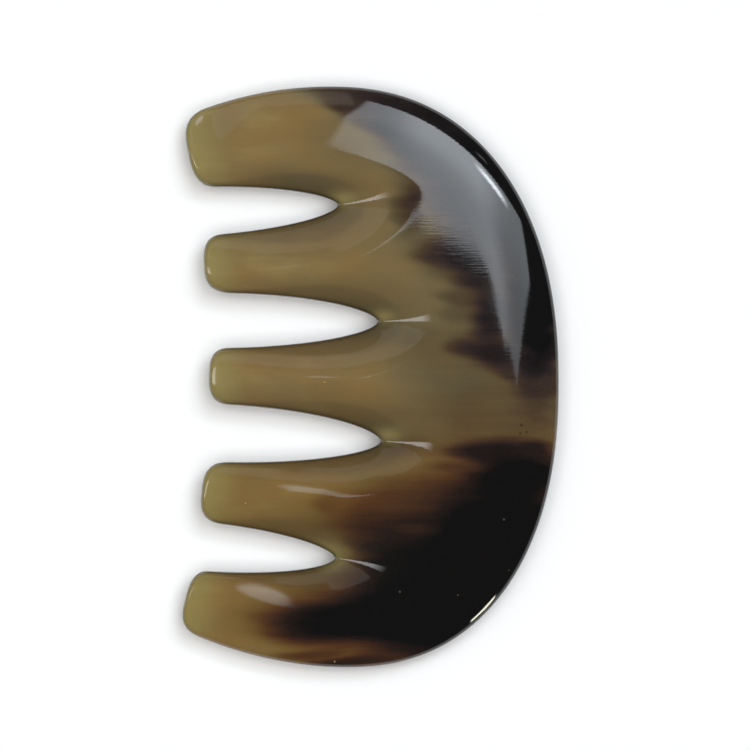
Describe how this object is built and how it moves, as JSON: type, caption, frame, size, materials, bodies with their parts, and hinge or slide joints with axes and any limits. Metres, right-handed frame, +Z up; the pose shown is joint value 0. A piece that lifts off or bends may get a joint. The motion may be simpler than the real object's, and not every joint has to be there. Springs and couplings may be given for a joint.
{
  "type": "scalp massage comb",
  "caption": "Thick polished horn comb with a rounded D-shaped back and blunt wide teeth, for combing and massaging the scalp.",
  "frame": {"origin": "under the middle of the outline, on the surface that the comb lies on", "axes": "+X from the teeth to the rounded back, +Y along the comb, +Z up through its thickness"},
  "size_m": [0.0648, 0.1002, 0.009],
  "materials": {
    "horn": "polished translucent horn, khaki teeth and near-black back"
  },
  "bodies": {
    "root": {"comb": "horn"}
  },
  "joints": []
}
